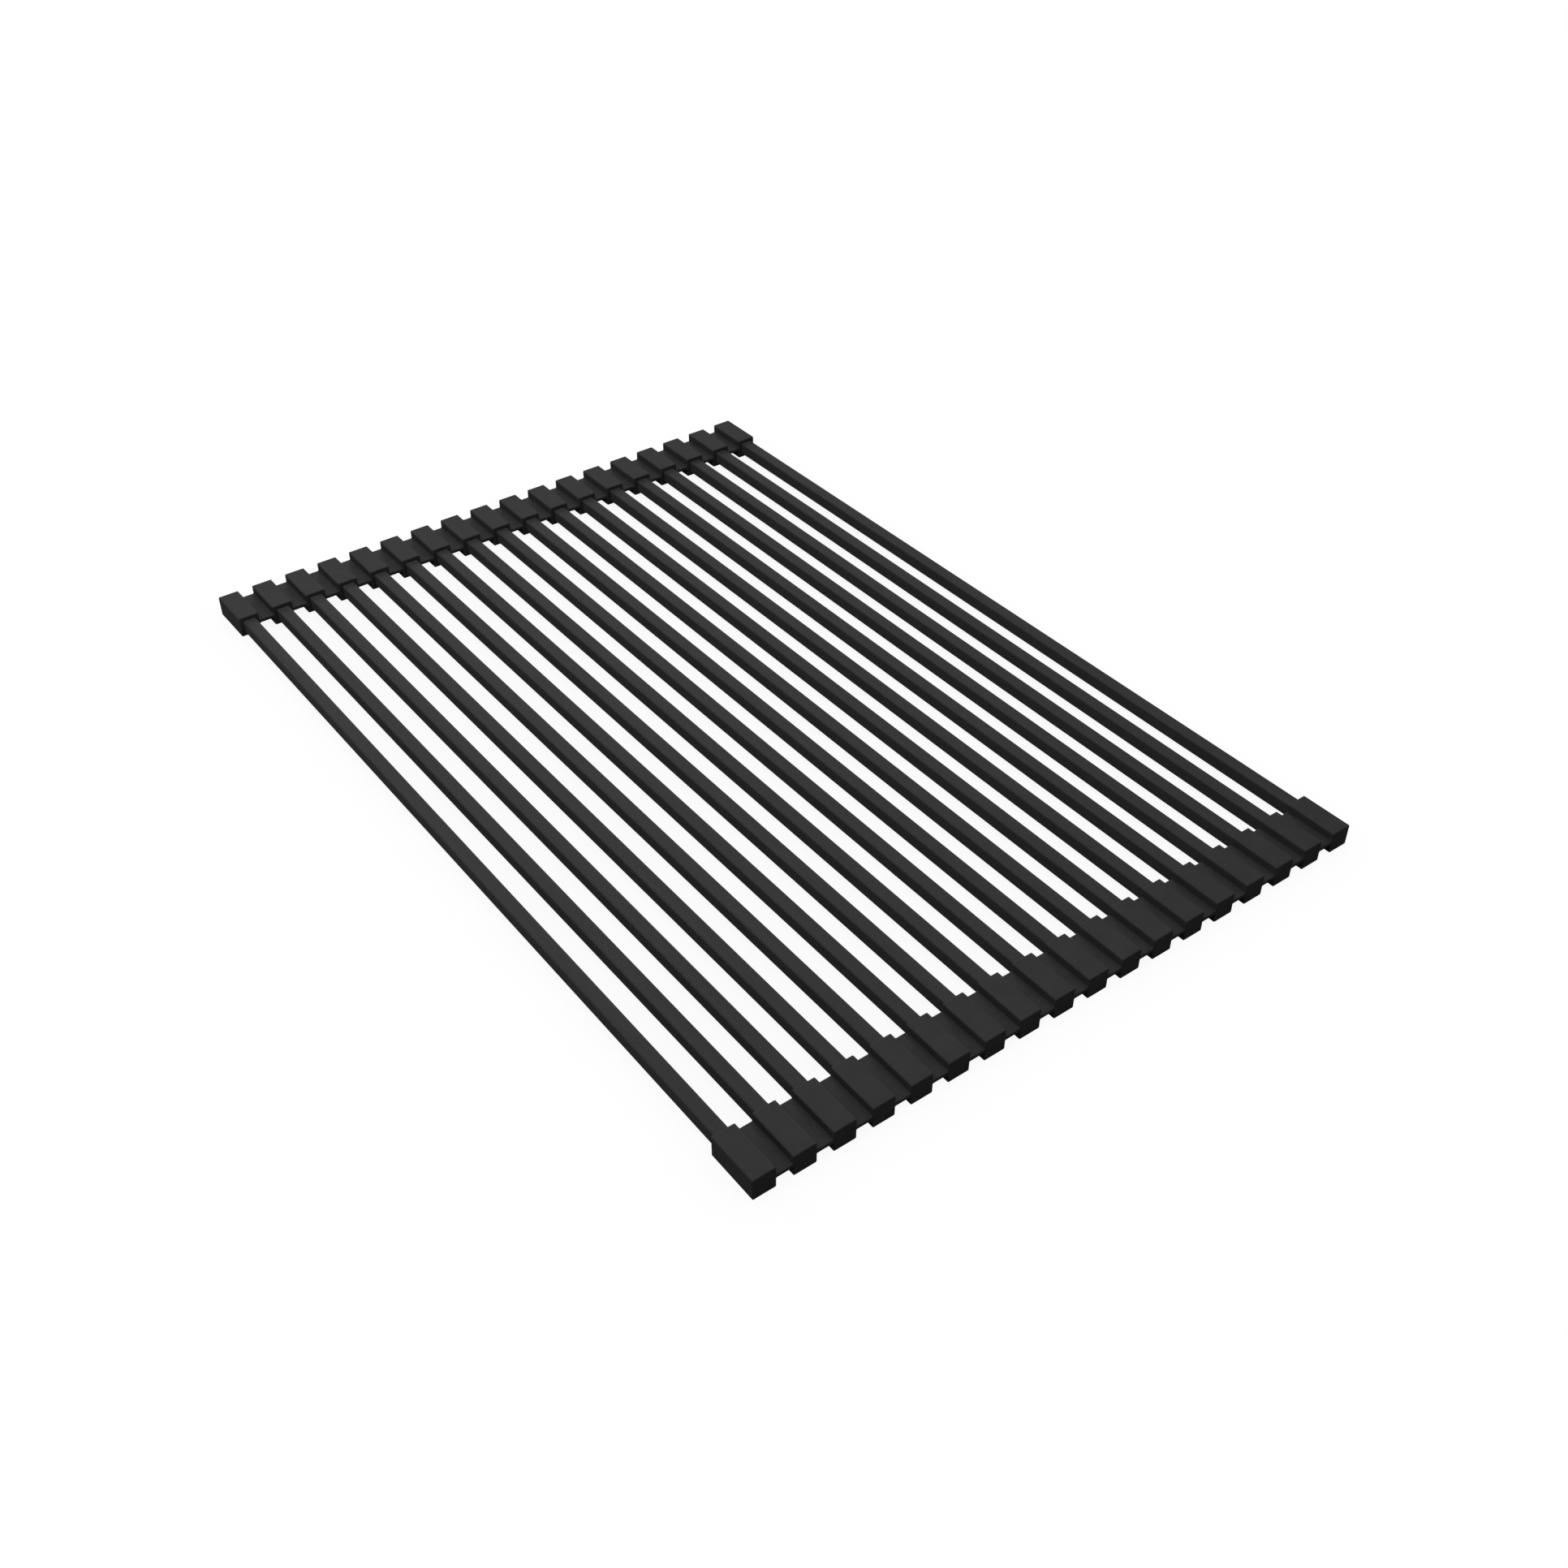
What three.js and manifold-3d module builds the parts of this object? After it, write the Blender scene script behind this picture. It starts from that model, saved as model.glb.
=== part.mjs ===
// Roll-up dish drying rack: square bars whose ends sit in two flexible strips of sockets.
// Millimetres, +Z up. X runs along the bars and Y across them, the way the rack rolls up.
// The origin lies on the worktop, under the middle of the flat rack.

import * as THREE from 'three';
import { mergeVertices } from 'three/addons/utils/BufferGeometryUtils.js';
import Module from 'manifold-3d';

const wasm = await Module();
wasm.setup();

// The whole rack
const rackLength = 458.6;
const barCount = 18;
const barPitch = 18;

// Bars: square steel tubes
const barSide = 6.6;
const barCornerRadius = 0.8;
const barWall = 0.6;
const barBoreRadius = 0.3;

// Sockets: blocks with a blind pocket for the end of a bar
const socketLength = 25;
const socketWidth = 10.5;
const socketHeight = 10.5;
const socketEdgeRadius = 0.6;
const socketEndRounding = 0.4;
const socketEndWall = 3;

// Webs: thin flat hinges that join each socket to the next
const webThickness = 1.8;
const webOuterInset = 0.25;
const webInnerInset = 0.1;
const webRootRadius = 0.5;

// Each web is parted along its middle, where it bends, and the two edges are bevelled to let it fold
const hingeSlit = 0.3;
const hingeBevelAngle = THREE.MathUtils.degToRad(27);

// Fit of a bar in its two pockets
const barSideClearance = 0.1;
const barEndClearance = 0.3;

// How far a cutting tool runs past the face that it enters
const cutOverrun = 1;

// A quarter circle is drawn with twice this number of straight steps
const arcDivisions = 1;
const bevelSteps = 1;

// Places worked out from the sizes above
const midHeight = socketHeight / 2;
const pocketDepth = socketLength - socketEndWall;
const barLength = rackLength - 2 * (socketEndWall + barEndClearance);
const quarterTurn = Math.PI / 2;

// Y of the bar with this index, counted from the -Y side
function barPlace(index) {
  return (index - (barCount - 1) / 2) * barPitch;
}

// A rectangle with rounded corners, centred on the origin
function roundedRectangle(path, width, height, radius) {
  const right = width / 2 - radius;
  const top = height / 2 - radius;
  path.absarc(right, top, radius, 0, quarterTurn);
  path.absarc(-right, top, radius, quarterTurn, 2 * quarterTurn);
  path.absarc(-right, -top, radius, 2 * quarterTurn, 3 * quarterTurn);
  path.absarc(right, -top, radius, 3 * quarterTurn, 4 * quarterTurn);
  path.closePath();
  return path;
}

// Sweeps an outline in the YZ plane along X, from start to end
function sweepAlongX(outline, start, end, bevel = {}) {
  const rounding = bevel.size ?? 0;
  const geometry = new THREE.ExtrudeGeometry(outline, {
    depth: end - start - 2 * rounding,
    curveSegments: arcDivisions,
    bevelEnabled: rounding > 0,
    bevelThickness: rounding,
    bevelSize: rounding,
    bevelOffset: -rounding,
    bevelSegments: bevelSteps,
  });
  const alongX = new THREE.Vector3(1, 0, 0);
  const alongY = new THREE.Vector3(0, 1, 0);
  const alongZ = new THREE.Vector3(0, 0, 1);
  geometry.applyMatrix4(new THREE.Matrix4().makeBasis(alongY, alongZ, alongX));
  geometry.translate(start + rounding, 0, 0);
  return geometry;
}

// A closed geometry as a solid that can be joined and cut
function toSolid(geometry) {
  geometry.deleteAttribute('normal');
  geometry.deleteAttribute('uv');
  const merged = mergeVertices(geometry);
  return new wasm.Manifold(new wasm.Mesh({
    numProp: 3,
    vertProperties: merged.getAttribute('position').array,
    triVerts: Uint32Array.from(merged.getIndex().array),
  }));
}

// A joined or cut solid as a geometry again
function toGeometry(solid) {
  const mesh = solid.getMesh();
  const geometry = new THREE.BufferGeometry();
  geometry.setAttribute('position', new THREE.BufferAttribute(mesh.vertProperties, 3));
  geometry.setIndex(new THREE.BufferAttribute(mesh.triVerts, 1));
  geometry.computeVertexNormals();
  return geometry;
}

// The bar: a square tube, open at both ends, centred on its own middle
function makeBarGeometry() {
  const section = roundedRectangle(new THREE.Shape(), barSide, barSide, barCornerRadius);
  const boreSide = barSide - 2 * barWall;
  section.holes.push(roundedRectangle(new THREE.Path(), boreSide, boreSide, barBoreRadius));
  return sweepAlongX(section, -barLength / 2, barLength / 2);
}

// Half a web on the +Y side of a socket: fillets at the socket's wall, and a bevelled edge at the fold
function halfWebOutline() {
  const wall = socketWidth / 2;
  const tip = (barPitch - hingeSlit) / 2;
  const face = webThickness / 2;
  const bevelStart = tip - face * Math.tan(hingeBevelAngle);
  const outline = new THREE.Shape();
  outline.moveTo(0, -face - webRootRadius);
  outline.lineTo(wall, -face - webRootRadius);
  outline.absarc(wall + webRootRadius, -face - webRootRadius, webRootRadius, 2 * quarterTurn, quarterTurn, true);
  outline.lineTo(bevelStart, -face);
  outline.lineTo(tip, 0);
  outline.lineTo(bevelStart, face);
  outline.lineTo(wall + webRootRadius, face);
  outline.absarc(wall + webRootRadius, face + webRootRadius, webRootRadius, 3 * quarterTurn, 2 * quarterTurn, true);
  outline.lineTo(0, face + webRootRadius);
  outline.closePath();
  return outline;
}

// One half web as a solid, turned to the -Y side if asked
function makeHalfWeb(side) {
  const geometry = sweepAlongX(halfWebOutline(), -socketLength + webInnerInset, -webOuterInset);
  if (side < 0) {
    geometry.rotateX(Math.PI);
  }
  return toSolid(geometry);
}

// The pocket: a blind square hole with the bar's section and a clearance round it
function makePocket() {
  const side = barSide + 2 * barSideClearance;
  const radius = barCornerRadius + barSideClearance;
  const section = roundedRectangle(new THREE.Shape(), side, side, radius);
  return toSolid(sweepAlongX(section, -socketLength - cutOverrun, -socketLength + pocketDepth));
}

// One segment of a strip: a socket with its half webs. Its mouth faces -X and its closed end is at X = 0.
function makeSocketGeometry(webSides) {
  const section = roundedRectangle(new THREE.Shape(), socketWidth, socketHeight, socketEdgeRadius);
  let solid = toSolid(sweepAlongX(section, -socketLength, 0, { size: socketEndRounding }));
  for (const side of webSides) {
    solid = solid.add(makeHalfWeb(side));
  }
  return toGeometry(solid.subtract(makePocket()));
}

// Two-digit number of a bar, counted from the -Y side
function barNumber(index) {
  return String(index + 1).padStart(2, '0');
}

const coatedSteel = new THREE.MeshStandardMaterial({ color: 0x3a3a3b, roughness: 0.62, metalness: 0.25 });
const softSilicone = new THREE.MeshStandardMaterial({ color: 0x353536, roughness: 0.88, metalness: 0 });

// All the bars, side by side at mid-height of their sockets
function makeBars() {
  const bars = new THREE.Group();
  const geometry = makeBarGeometry();
  for (let index = 0; index < barCount; index += 1) {
    const bar = new THREE.Mesh(geometry, coatedSteel);
    bar.name = `bar_${barNumber(index)}`;
    bar.position.set(0, barPlace(index), midHeight);
    bars.add(bar);
  }
  return bars;
}

// One strip of sockets, in its own frame. The first and last sockets have a web on one side only.
function makeStrip(nameOfSocket) {
  const strip = new THREE.Group();
  const middle = makeSocketGeometry([-1, 1]);
  const first = makeSocketGeometry([1]);
  const last = makeSocketGeometry([-1]);
  for (let index = 0; index < barCount; index += 1) {
    let geometry = middle;
    if (index === 0) {
      geometry = first;
    }
    if (index === barCount - 1) {
      geometry = last;
    }
    const socket = new THREE.Mesh(geometry, softSilicone);
    socket.name = nameOfSocket(index);
    socket.position.set(0, barPlace(index), midHeight);
    strip.add(socket);
  }
  return strip;
}

const rack = new THREE.Group();
rack.add(makeBars());

const nearStrip = makeStrip((index) => `socket_near_${barNumber(index)}`);
nearStrip.position.x = rackLength / 2;
rack.add(nearStrip);

// The far strip is the same moulding turned end for end, so its sockets are numbered backwards
const farStrip = makeStrip((index) => `socket_far_${barNumber(barCount - 1 - index)}`);
farStrip.position.x = -rackLength / 2;
farStrip.rotation.z = Math.PI;
rack.add(farStrip);

export default rack;
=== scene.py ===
"""Looks of the roll-up dish drying rack: square bars held by two soft strips of sockets and webs.

Metres, in the row frame: X along the bars, Y across them, +Z up, the worktop at Z = 0.
"""

import math

import bpy
import numpy as np
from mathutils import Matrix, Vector


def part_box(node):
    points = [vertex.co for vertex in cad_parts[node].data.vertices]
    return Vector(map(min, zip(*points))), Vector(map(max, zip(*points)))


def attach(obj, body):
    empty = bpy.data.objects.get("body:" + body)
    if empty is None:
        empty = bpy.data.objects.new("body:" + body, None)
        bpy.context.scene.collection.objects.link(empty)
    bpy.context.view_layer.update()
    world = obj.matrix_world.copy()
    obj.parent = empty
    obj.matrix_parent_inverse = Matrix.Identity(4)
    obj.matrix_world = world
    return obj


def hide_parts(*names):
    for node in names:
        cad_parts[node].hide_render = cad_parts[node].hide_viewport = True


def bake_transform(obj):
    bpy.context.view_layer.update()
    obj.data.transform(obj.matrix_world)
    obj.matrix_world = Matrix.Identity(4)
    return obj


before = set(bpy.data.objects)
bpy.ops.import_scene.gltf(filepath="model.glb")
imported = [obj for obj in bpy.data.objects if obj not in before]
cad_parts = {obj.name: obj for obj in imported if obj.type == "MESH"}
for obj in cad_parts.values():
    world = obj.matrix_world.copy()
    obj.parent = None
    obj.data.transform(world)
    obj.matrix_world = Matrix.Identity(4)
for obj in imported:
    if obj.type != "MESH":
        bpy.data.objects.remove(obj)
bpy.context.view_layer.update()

MM = 0.001
BAR_NUMBERS = sorted(name.split("_")[1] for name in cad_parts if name.startswith("bar_"))

# Bars: square steel tubes with a dark coating
BAR_CORNER = 0.8 * MM
BAR_WALL = 0.6 * MM
BAR_BORE_CORNER = 0.3 * MM

# Sockets: soft blocks with a blind pocket
SOCKET_WIDTH = 10.5 * MM
SOCKET_EDGE = 0.6 * MM
SOCKET_END_ROUNDING = 0.4 * MM
SOCKET_END_WALL = 3 * MM
POCKET_CLEARANCE = 0.1 * MM
POCKET_RIM_ROUNDING = 0.25 * MM

# Webs: thin flat hinges between the sockets
WEB_THICKNESS = 1.8 * MM
WEB_OUTER_INSET = 0.25 * MM
WEB_INNER_INSET = 0.1 * MM
WEB_END_ROUNDING = 0.25 * MM
WEB_ROOT = 0.5 * MM
WEB_SUNK = 0.3 * MM

# Fineness of the surfaces
CORNER_STEPS = 6
ROUNDING_STEPS = 5
WEB_STEPS = 20
FLAT_BAND = 0.25 * MM
SMALLEST_CORNER = FLAT_BAND / 2

# The camera that took the photograph, fitted to the corners of the sockets and the edges of the bars
CAMERA_AZIMUTH = math.radians(53.154)
CAMERA_ELEVATION = math.radians(39.13)
CAMERA_DISTANCE = 798.036 * MM
CAMERA_TARGET = Vector((51.467 * MM, -11.255 * MM, 0))
CAMERA_SENSOR = 36
CAMERA_LENS = 40.755
CAMERA_NEAREST = 0.01
CAMERA_FARTHEST = 100

# Colours, as the share of light that a surface gives back
COATING_COLOUR = (0.042, 0.042, 0.042)
SILICONE_COLOUR = (0.041, 0.041, 0.041)
FLOOR_GREY = 0.3

# Finish: how broad clouds, fine grain and rubbed edges change the colour and the roughness
CLOUD_TONE = (0.93, 1.04)
GRAIN_TONE = (-0.11, 0.11)
EDGE_TONE = 0.06
CLOUD_ROUGHNESS = (-0.03, 0.03)
GRAIN_ROUGHNESS = 0.05
EDGE_ROUGHNESS = -0.08
CLOUD_DETAIL = 2
GRAIN_DETAIL = 3

# The part of a noise's range that holds most of it, and the whole range of a share
NOISE_SPAN = (0.3, 0.7)
WHOLE_SPAN = (0, 1)

# Lamps: a broad one above the first bars, a low one behind the far strip, and a high one
FRONT_PLACE = Vector((-0.14, -0.4, 0.74))
FRONT_SIZE = 0.57
FRONT_POWER = 3.62
REAR_PLACE = Vector((-1.73, 0.68, 0.59))
REAR_SIZE = 0.72
REAR_POWER = 29.3
HIGH_PLACE = Vector((0.3, 0.25, 1.45))
HIGH_SIZE = 0.88
HIGH_POWER = 4.46

# Sky: weak over the floor and bright under it
SKY_STRENGTH = 0.153
UNDER_STRENGTH = 1.0
HORIZON_BAND = 0.02

# Floor, and the shadow that is seen on it
FLOOR_SIZE = 12
FLOOR_DROP = 0.05 * MM
SHADOW_DEPTH = 0.09
SHADOW_REACH = 45 * MM
SHADOW_RAYS = 4


def quarter_arc(steps):
    """Angles from 0 to a right angle, in equal steps."""
    return np.linspace(0, math.pi / 2, steps + 1)


def rounded_rectangles(width, height, corner):
    """Rings of (Y, Z) points round rectangles with round corners, one for each entry of the arrays.

    A corner is a quarter circle about its own centre: point = centre + corner * (cos a, sin a).
    One more point lies FLAT_BAND from each end of it, along the straight side, to keep that side flat.
    """
    quarter = np.arange(4) * math.pi / 2
    side = np.sign(np.cos(quarter + math.pi / 4))
    top = np.sign(np.sin(quarter + math.pi / 4))
    angle = quarter[:, None] + quarter_arc(CORNER_STEPS)
    corner = corner[:, None]
    centre_y = side * (width[:, None] / 2 - corner)
    centre_z = top * (height[:, None] / 2 - corner)
    y = centre_y[:, :, None] + corner[:, :, None] * np.cos(angle)
    z = centre_z[:, :, None] + corner[:, :, None] * np.sin(angle)
    along_y = np.sin(quarter)[None, :, None] * FLAT_BAND
    along_z = np.cos(quarter)[None, :, None] * FLAT_BAND
    y = np.concatenate([y[:, :, :1] + along_y, y, y[:, :, -1:] - along_z], axis=2)
    z = np.concatenate([z[:, :, :1] - along_z, z, z[:, :, -1:] - along_y], axis=2)
    return np.stack([y, z], axis=3).reshape(len(width), -1, 2)


def corner_wear():
    """How exposed each point of a rounded rectangle is: sin(2 a) round a corner and 0 on the flats."""
    arc = np.sin(2 * quarter_arc(CORNER_STEPS))
    return np.tile(np.concatenate([[0], arc, [0]]), 4)


def rings_along_x(x, width, height, corner):
    """Stacks rounded rectangles at the places x, as an array of rings of (X, Y, Z) points."""
    flat = rounded_rectangles(width, height, corner)
    along = np.broadcast_to(x[:, None, None], flat.shape[:2] + (1,))
    return np.concatenate([along, flat], axis=2)


def ring_faces(ring_count, point_count, closed):
    """Quads from each ring to the next, and from the last to the first if closed."""
    rings = np.arange(ring_count if closed else ring_count - 1)
    points = np.arange(point_count)
    this_ring = rings[:, None] * point_count
    next_ring = (rings[:, None] + 1) % ring_count * point_count
    after = (points + 1) % point_count
    quads = [this_ring + points, this_ring + after, next_ring + after, next_ring + points]
    return np.stack(quads, axis=2).reshape(-1, 4).tolist()


def fan_faces(ring_start, point_count, centre, outward):
    """Triangles from a centre point to one ring."""
    points = np.arange(point_count)
    here = ring_start + points
    after = ring_start + (points + 1) % point_count
    order = [here, after] if outward else [after, here]
    return np.stack([np.full(point_count, centre), *order], axis=1).tolist()


def strip_faces(ring_start, point_count, outward):
    """Quads across one flat ring, from its lower half to its upper half."""
    low = np.arange(point_count // 2 - 1)
    high = point_count - 1 - low
    corners = [low, low + 1, high - 1, high]
    if not outward:
        corners.reverse()
    return (ring_start + np.stack(corners, axis=1)).tolist()


def new_piece(name, vertices, faces, wear, material):
    """A smooth mesh object from arrays. wear is how exposed each point is, from 0 to 1."""
    mesh = bpy.data.meshes.new(name)
    mesh.from_pydata(vertices.tolist(), [], faces)
    mesh.polygons.foreach_set("use_smooth", np.ones(len(mesh.polygons), bool))
    attribute = mesh.attributes.new("wear", "FLOAT", "POINT")
    attribute.data.foreach_set("value", wear.astype(np.float32))
    mesh.materials.append(material)
    mesh.update()
    piece = bpy.data.objects.new(name, mesh)
    bpy.context.scene.collection.objects.link(piece)
    return piece


def middle_of(node):
    """Middle of a CAD node's box."""
    low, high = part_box(node)
    return (low + high) / 2


def bar_surface(bar):
    """A square tube: its outside from end to end, then its bore back again, closed on itself."""
    low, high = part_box(bar)
    side = high.y - low.y
    bore = side - 2 * BAR_WALL
    x = np.array([low.x, low.x + FLAT_BAND, high.x - FLAT_BAND, high.x, high.x, low.x])
    size = np.array([side, side, side, side, bore, bore])
    corner = np.where(size == side, BAR_CORNER, BAR_BORE_CORNER)
    rings = rings_along_x(x, size, size, corner)
    rings[:, :, 1:] += np.array(middle_of(bar))[1:]
    wear = np.where(size == side, 1, 0)[:, None] * corner_wear()
    faces = ring_faces(len(x), rings.shape[1], closed=True)
    return rings.reshape(-1, 3), faces, wear.ravel()


def socket_profile(length, height, bar_side):
    """The socket's skin from the pocket's floor, out of the mouth and round to the closed end.

    The mouth is at X = 0 and the closed end at X = length. Each row gives a place x, the width and
    height of the ring there, its corner, how exposed it is, and 1 if it lies on the outside. Roundings
    are quarter circles.
    """
    arc = quarter_arc(ROUNDING_STEPS)
    rim = POCKET_RIM_ROUNDING
    end = SOCKET_END_ROUNDING
    pocket = bar_side + 2 * POCKET_CLEARANCE
    pocket_corner = BAR_CORNER + POCKET_CLEARANCE
    inside_x = np.array([length - SOCKET_END_WALL, rim + FLAT_BAND])
    rim_out = rim * (1 - np.cos(arc))
    rim_x = rim * (1 - np.sin(arc))
    grown = np.concatenate([[0, 0], rim_out, [rim + FLAT_BAND]])
    pocket_size = pocket + 2 * grown
    end_in = end * (1 - np.sin(arc))
    end_x = end * (1 - np.cos(arc))
    inset = np.concatenate([[end + FLAT_BAND], end_in, [0, 0], end_in[::-1], [end + FLAT_BAND]])
    outer_x = [[0], end_x, [end + FLAT_BAND, length - end - FLAT_BAND], length - end_x[::-1], [length]]
    x = np.concatenate([inside_x, rim_x, [0], *outer_x])
    width = np.concatenate([pocket_size, SOCKET_WIDTH - 2 * inset])
    tall = np.concatenate([pocket_size, height - 2 * inset])
    corner = np.concatenate([pocket_corner + grown, np.maximum(SOCKET_EDGE - inset, SMALLEST_CORNER)])
    rim_wear = np.concatenate([[0, 0], np.sin(2 * arc), [0]])
    end_wear = np.concatenate([[0], np.sin(2 * arc), [0, 0], np.sin(2 * arc), [0]])
    on_outside = np.concatenate([np.zeros(len(rim_wear)), np.ones(len(end_wear))])
    return x, width, tall, corner, np.concatenate([rim_wear, end_wear]), on_outside


def socket_surface(socket, bar, outward):
    """A block with rounded edges and a blind pocket, as one closed skin.

    It is socket_profile's rows, each drawn as a rounded rectangle. outward is +1 at the near strip.
    """
    low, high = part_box(socket)
    bar_low, bar_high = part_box(bar)
    profile = socket_profile(high.x - low.x, high.z - low.z, bar_high.y - bar_low.y)
    x, width, height, corner, row_wear, on_outside = profile
    rings = rings_along_x(x, width, height, corner)
    wear = np.maximum(row_wear[:, None], on_outside[:, None] * corner_wear())
    count = rings.shape[1]
    floor = np.array([[x[0], 0, 0]])
    cap = np.array([[x[-1], 0, 0]])
    vertices = np.concatenate([rings.reshape(-1, 3), floor, cap])
    vertices[:, :2] *= outward
    mouth = low.x if outward > 0 else high.x
    vertices += np.array([mouth, middle_of(bar).y, middle_of(socket).z])
    faces = ring_faces(len(x), count, closed=False)
    faces += fan_faces(0, count, len(x) * count, outward=False)
    faces += fan_faces((len(x) - 1) * count, count, len(x) * count + 1, outward=True)
    return vertices, faces, np.concatenate([wear.ravel(), [0, 0]])


def web_surface(socket, start, end, outward):
    """A thin slab from one socket's wall to the next, in the YZ plane, swept along X.

    Half its height at a distance s from a wall is face + root - sqrt(root^2 - (root - s)^2) up to
    s = root, a fillet, and face beyond. Its ends along X are rounded: the height falls by
    r * (1 - sin t) where X has moved r * (1 - cos t) from the end. outward is +1 at the near strip.
    """
    low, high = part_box(socket)
    face = WEB_THICKNESS / 2
    arc = quarter_arc(ROUNDING_STEPS)
    fillet_y = WEB_ROOT * (1 - np.cos(arc))
    fillet_z = face + WEB_ROOT * (1 - np.sin(arc))
    flat_y = np.linspace(start + WEB_ROOT, end - WEB_ROOT, WEB_STEPS + 1)[1:-1]
    first_y = np.concatenate([[start - WEB_SUNK], start + fillet_y])
    last_y = np.concatenate([end - fillet_y[::-1], [end + WEB_SUNK]])
    y = np.concatenate([first_y, flat_y, last_y])
    flat_z = np.full(len(flat_y), face)
    z = np.concatenate([[face + WEB_ROOT], fillet_z, flat_z, fillet_z[::-1], [face + WEB_ROOT]])
    rounding_x = WEB_END_ROUNDING * (1 - np.cos(arc))
    rounding_z = WEB_END_ROUNDING * (1 - np.sin(arc))
    insets = (WEB_INNER_INSET, WEB_OUTER_INSET)[::outward]
    first = low.x + insets[0]
    last = high.x - insets[1]
    inner = WEB_END_ROUNDING + FLAT_BAND
    x = np.concatenate([first + rounding_x, [first + inner, last - inner], last - rounding_x[::-1]])
    thinner = np.concatenate([rounding_z, [0, 0], rounding_z[::-1]])
    ring_y = np.concatenate([y, y[::-1]])
    ring_z = np.concatenate([-z, z[::-1]])
    sign = np.sign(ring_z)
    shape = (len(x), len(ring_y))
    grid_x = np.broadcast_to(x[:, None], shape)
    grid_y = np.broadcast_to(ring_y, shape)
    grid_z = ring_z - sign * thinner[:, None] + middle_of(socket).z
    vertices = np.stack([grid_x, grid_y, grid_z], axis=2).reshape(-1, 3)
    faces = ring_faces(len(x), len(ring_y), closed=False)
    faces += strip_faces(0, len(ring_y), outward=False)
    faces += strip_faces((len(x) - 1) * len(ring_y), len(ring_y), outward=True)
    wear = np.concatenate([np.sin(2 * arc), [0, 0], np.sin(2 * arc)])
    return vertices, faces, np.repeat(wear, len(ring_y))


class Shader:
    """The nodes of a material, or of the sky, while they are being put together."""

    def __init__(self, material):
        material.use_nodes = True
        self.tree = material.node_tree
        self.tree.nodes.clear()

    def add(self, kind, **values):
        """Makes a node with these settings."""
        node = self.tree.nodes.new(kind)
        for name, value in values.items():
            setattr(node, name, value)
        return node

    def link(self, output, socket):
        """Joins one node's output to another's input."""
        self.tree.links.new(output, socket)

    def noise(self, size, stretch, detail):
        """Noise whose lumps are about size metres across, drawn out by stretch along X, Y and Z."""
        place = self.add("ShaderNodeTexCoord")
        mapping = self.add("ShaderNodeMapping", vector_type="TEXTURE")
        mapping.inputs["Scale"].default_value = stretch
        texture = self.add("ShaderNodeTexNoise")
        texture.inputs["Scale"].default_value = 1 / size
        texture.inputs["Detail"].default_value = detail
        self.link(place.outputs["Object"], mapping.inputs["Vector"])
        self.link(mapping.outputs["Vector"], texture.inputs["Vector"])
        return texture.outputs["Fac"]

    def spread(self, value, low, high, span=NOISE_SPAN):
        """Maps the span of a value to the range from low to high."""
        node = self.add("ShaderNodeMapRange")
        node.inputs["From Min"].default_value = span[0]
        node.inputs["From Max"].default_value = span[1]
        node.inputs["To Min"].default_value = low
        node.inputs["To Max"].default_value = high
        self.link(value, node.inputs["Value"])
        return node.outputs["Result"]

    def combine(self, first, second, operation="ADD"):
        """Adds two values, or multiplies them or takes the larger, as the operation says."""
        node = self.add("ShaderNodeMath", operation=operation)
        self.link(first, node.inputs[0])
        if isinstance(second, float):
            node.inputs[1].default_value = second
        else:
            self.link(second, node.inputs[1])
        return node.outputs["Value"]

    def wear(self, amount):
        """How exposed the surface is there, times amount."""
        node = self.add("ShaderNodeAttribute", attribute_name="wear")
        return self.combine(node.outputs["Fac"], amount, "MULTIPLY")


def dark_finish(name, colour, roughness, specular, lumps, grain, relief, stretch):
    """A matte dark finish with broad clouds, fine grain and rubbed edges.

    Colour and roughness are their own value plus a part for each of the three. The relief is the grain.
    """
    material = bpy.data.materials.new(name)
    shader = Shader(material)
    surface = shader.add("ShaderNodeBsdfPrincipled")
    output = shader.add("ShaderNodeOutputMaterial")
    shader.link(surface.outputs["BSDF"], output.inputs["Surface"])

    cloud = shader.noise(lumps, stretch, CLOUD_DETAIL)
    fine = shader.noise(grain, (1, 1, 1), GRAIN_DETAIL)
    tone = shader.combine(shader.spread(cloud, *CLOUD_TONE), shader.spread(fine, *GRAIN_TONE))
    tone = shader.combine(tone, shader.wear(EDGE_TONE))
    paint = shader.add("ShaderNodeVectorMath", operation="SCALE")
    paint.inputs[0].default_value = colour
    shader.link(tone, paint.inputs["Scale"])
    shader.link(paint.outputs["Vector"], surface.inputs["Base Color"])

    rough = shader.spread(fine, roughness - GRAIN_ROUGHNESS, roughness + GRAIN_ROUGHNESS)
    rough = shader.combine(rough, shader.wear(EDGE_ROUGHNESS))
    rough = shader.combine(rough, shader.spread(cloud, *CLOUD_ROUGHNESS))
    shader.link(rough, surface.inputs["Roughness"])
    surface.inputs["Specular IOR Level"].default_value = specular

    bump = shader.add("ShaderNodeBump")
    bump.inputs["Strength"].default_value = 1.0
    bump.inputs["Distance"].default_value = relief
    shader.link(fine, bump.inputs["Height"])
    shader.link(bump.outputs["Normal"], surface.inputs["Normal"])
    return material


def coated_steel():
    """Powder coat on steel tube: a soft pebbled skin, with tone drifting slowly along the bar."""
    return dark_finish(
        "coated_steel", COATING_COLOUR, roughness=0.8, specular=0.01,
        lumps=6 * MM, grain=0.5 * MM, relief=0.04 * MM, stretch=(12, 1, 1))


def moulded_silicone():
    """Silicone from a spark-eroded mould: an even matte grain and faint cloudiness."""
    return dark_finish(
        "moulded_silicone", SILICONE_COLOUR, roughness=0.9, specular=0.01,
        lumps=9 * MM, grain=0.3 * MM, relief=0.025 * MM, stretch=(1, 1, 1))


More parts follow.
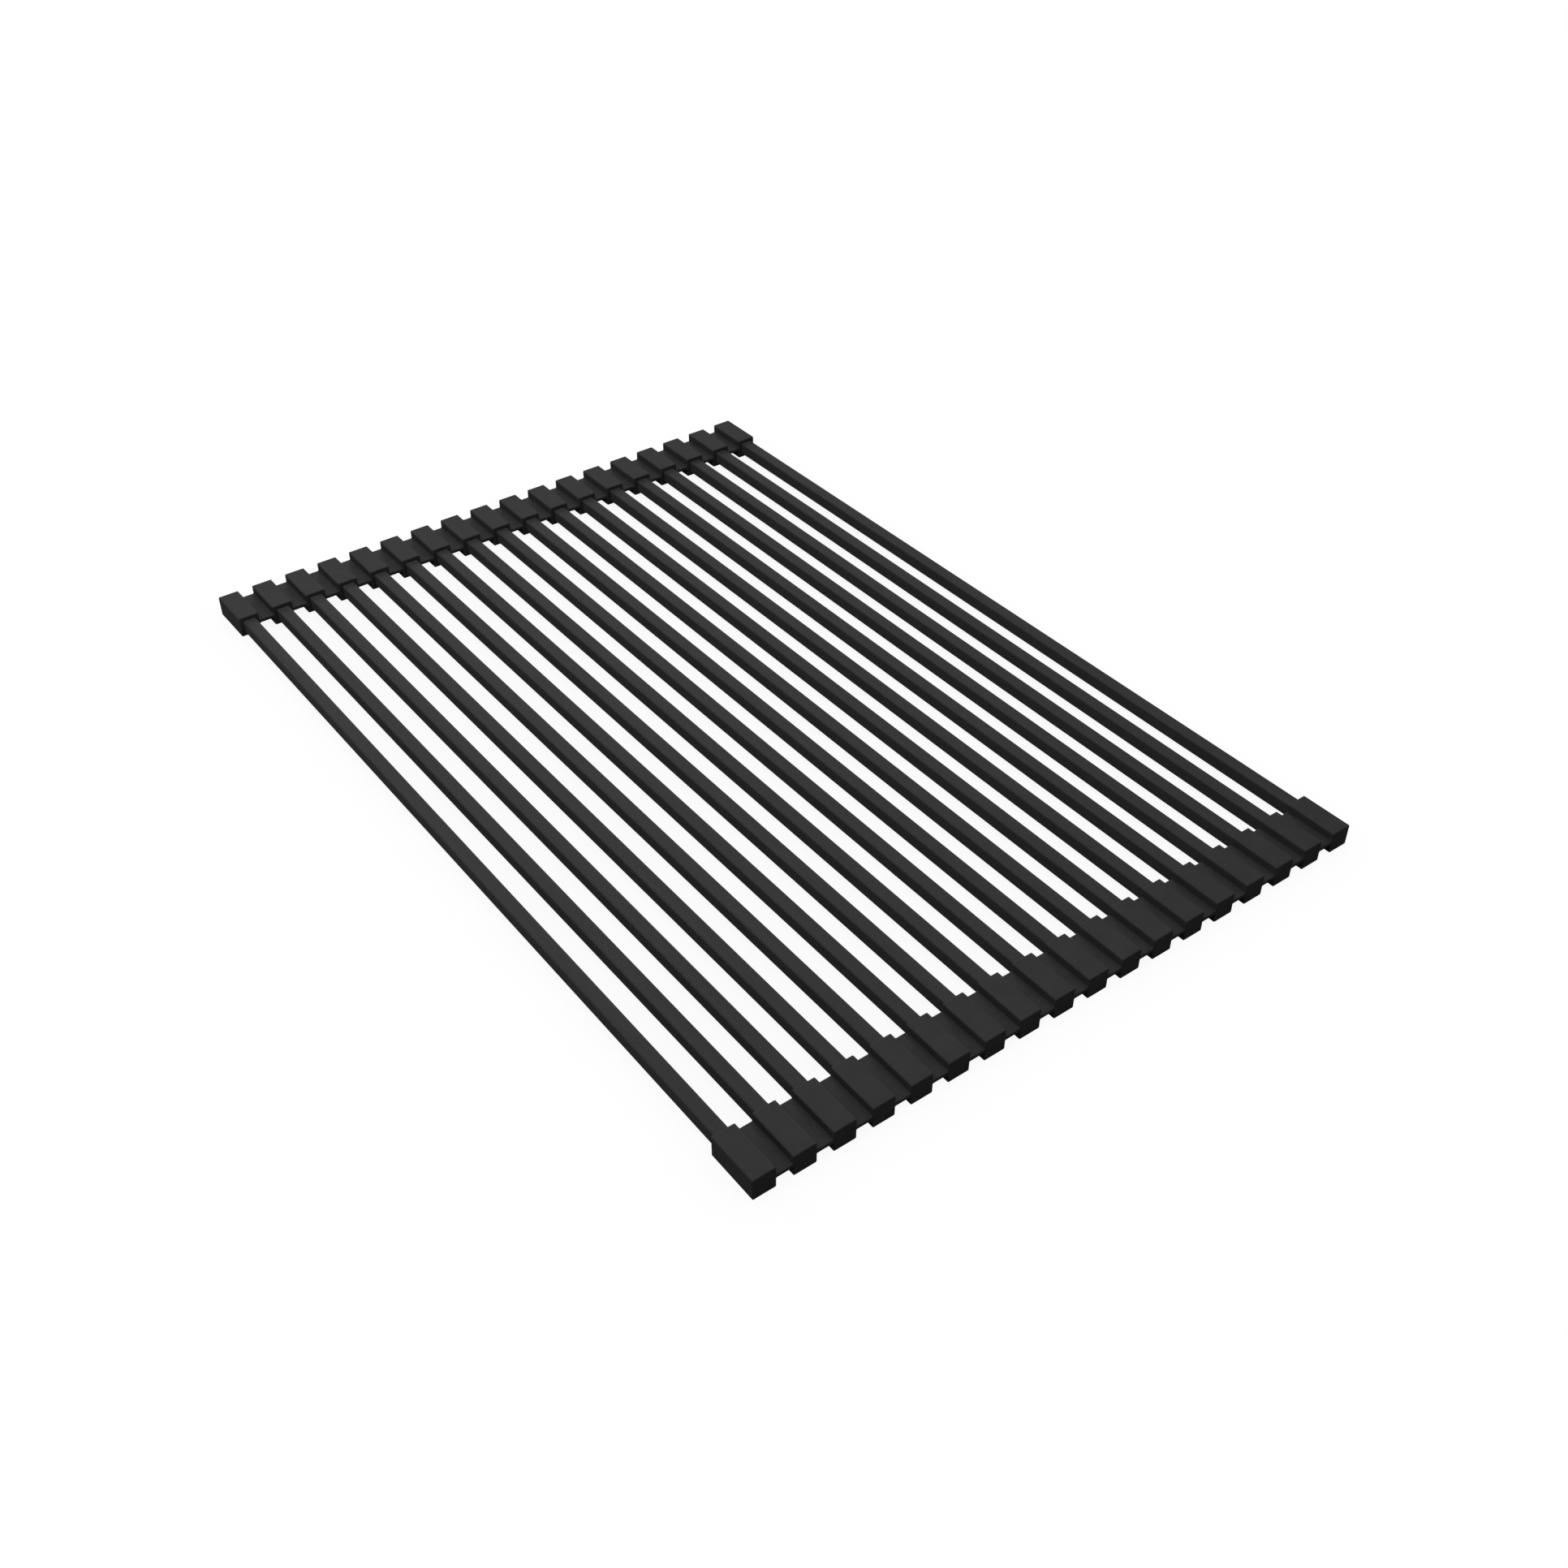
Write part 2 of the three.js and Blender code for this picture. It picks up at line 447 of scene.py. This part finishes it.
def make_bars(material):
    """The eighteen tubes."""
    for number in BAR_NUMBERS:
        node = f"bar_{number}"
        piece = new_piece(f"coated_bar_{number}", *bar_surface(node), material)
        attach(piece, f"link_{number}")
        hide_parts(node)


def make_sockets(strip, outward, material):
    """The sockets of the near strip, whose outward is +1, or of the far one, -1."""
    for number in BAR_NUMBERS:
        node = f"socket_{strip}_{number}"
        surface = socket_surface(node, f"bar_{number}", outward)
        piece = new_piece(f"{strip}_socket_{number}", *surface, material)
        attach(piece, f"link_{number}")
        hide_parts(node)


def make_webs(strip, outward, material):
    """The webs of a strip, one between the sockets of each two neighbouring bars."""
    for number, following in zip(BAR_NUMBERS, BAR_NUMBERS[1:]):
        node = f"socket_{strip}_{number}"
        start = middle_of(f"bar_{number}").y + SOCKET_WIDTH / 2
        end = middle_of(f"bar_{following}").y - SOCKET_WIDTH / 2
        piece = new_piece(f"{strip}_web_{number}", *web_surface(node, start, end, outward), material)
        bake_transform(piece)


def make_camera():
    """Places the camera on a sphere round its target, looking at the target."""
    back = Vector((
        math.sin(CAMERA_AZIMUTH) * math.cos(CAMERA_ELEVATION),
        -math.cos(CAMERA_AZIMUTH) * math.cos(CAMERA_ELEVATION),
        math.sin(CAMERA_ELEVATION),
    ))
    data = bpy.data.cameras.new("camera")
    data.sensor_width = CAMERA_SENSOR
    data.lens = CAMERA_LENS
    data.clip_start = CAMERA_NEAREST
    data.clip_end = CAMERA_FARTHEST
    camera = bpy.data.objects.new("camera", data)
    camera.location = CAMERA_TARGET + CAMERA_DISTANCE * back
    camera.rotation_mode = "QUATERNION"
    camera.rotation_quaternion = (-back).to_track_quat("-Z", "Y")
    bpy.context.scene.collection.objects.link(camera)
    bpy.context.scene.camera = camera


def seen_directly(shader):
    """1 for what is seen, directly, in a gloss or through glass, and 0 for what lights the object."""
    path = shader.add("ShaderNodeLightPath")
    seen = shader.combine(path.outputs["Is Camera Ray"], path.outputs["Is Glossy Ray"], "MAXIMUM")
    return shader.combine(seen, path.outputs["Is Transmission Ray"], "MAXIMUM")


def pale_floor():
    """Matte grey for the light it gives back, and clear where it is seen, with a faint soft shadow.

    What is seen through it keeps 1 - SHADOW_DEPTH * closed of its light, where closed is the share of
    the sky that the object shuts out within SHADOW_REACH.
    """
    material = bpy.data.materials.new("pale_floor")
    shader = Shader(material)
    seen = seen_directly(shader)
    matte = shader.add("ShaderNodeBsdfDiffuse")
    matte.inputs["Color"].default_value = (FLOOR_GREY, FLOOR_GREY, FLOOR_GREY, 1)
    open_sky = shader.add("ShaderNodeAmbientOcclusion", samples=SHADOW_RAYS)
    open_sky.inputs["Distance"].default_value = SHADOW_REACH
    clear = shader.add("ShaderNodeBsdfTransparent")
    kept_light = shader.spread(open_sky.outputs["AO"], 1 - SHADOW_DEPTH, 1, WHOLE_SPAN)
    shader.link(kept_light, clear.inputs["Color"])
    mix = shader.add("ShaderNodeMixShader")
    output = shader.add("ShaderNodeOutputMaterial")
    shader.link(seen, mix.inputs["Fac"])
    shader.link(matte.outputs["BSDF"], mix.inputs[1])
    shader.link(clear.outputs["BSDF"], mix.inputs[2])
    shader.link(mix.outputs["Shader"], output.inputs["Surface"])
    return material


def make_floor():
    """A wide square floor just under the rack, through which the rack is seen where it is rolled down."""
    half = FLOOR_SIZE / 2
    corners = [(-half, -half), (half, -half), (half, half), (-half, half)]
    mesh = bpy.data.meshes.new("floor")
    mesh.from_pydata([(x, y, -FLOOR_DROP) for x, y in corners], [], [(0, 1, 2, 3)])
    mesh.materials.append(pale_floor())
    floor = bpy.data.objects.new("floor", mesh)
    bpy.context.scene.collection.objects.link(floor)


def make_sky():
    """A sky that is white where it is seen.

    The light that it gives is weak over the floor and bright under it, for what hangs there. It goes
    from one to the other where the Z of the direction is between -HORIZON_BAND and 0.
    """
    world = bpy.data.worlds.new("studio")
    bpy.context.scene.world = world
    shader = Shader(world)
    background = shader.add("ShaderNodeBackground")
    output = shader.add("ShaderNodeOutputWorld")
    background.inputs["Color"].default_value = (1, 1, 1, 1)
    direction = shader.add("ShaderNodeTexCoord")
    parts = shader.add("ShaderNodeSeparateXYZ")
    shader.link(direction.outputs["Generated"], parts.inputs["Vector"])
    level = shader.spread(parts.outputs["Z"], UNDER_STRENGTH, SKY_STRENGTH, (-HORIZON_BAND, 0))
    strength = shader.combine(seen_directly(shader), level, "MAXIMUM")
    shader.link(strength, background.inputs["Strength"])
    shader.link(background.outputs["Background"], output.inputs["Surface"])


def make_lamp(name, place, size, power):
    """A soft square lamp, turned towards the rack."""
    data = bpy.data.lights.new(name, "AREA")
    data.shape = "SQUARE"
    data.size = size
    data.energy = power
    lamp = bpy.data.objects.new(name, data)
    lamp.location = place
    lamp.rotation_mode = "QUATERNION"
    lamp.rotation_quaternion = (-place).to_track_quat("-Z", "Y")
    bpy.context.scene.collection.objects.link(lamp)


bpy.context.scene.view_settings.view_transform = "Standard"
make_camera()
make_floor()
make_sky()
make_lamp("front_lamp", FRONT_PLACE, FRONT_SIZE, FRONT_POWER)
make_lamp("rear_lamp", REAR_PLACE, REAR_SIZE, REAR_POWER)
make_lamp("high_lamp", HIGH_PLACE, HIGH_SIZE, HIGH_POWER)

silicone = moulded_silicone()
make_bars(coated_steel())
make_sockets("near", 1, silicone)
make_sockets("far", -1, silicone)
make_webs("near", 1, silicone)
make_webs("far", -1, silicone)
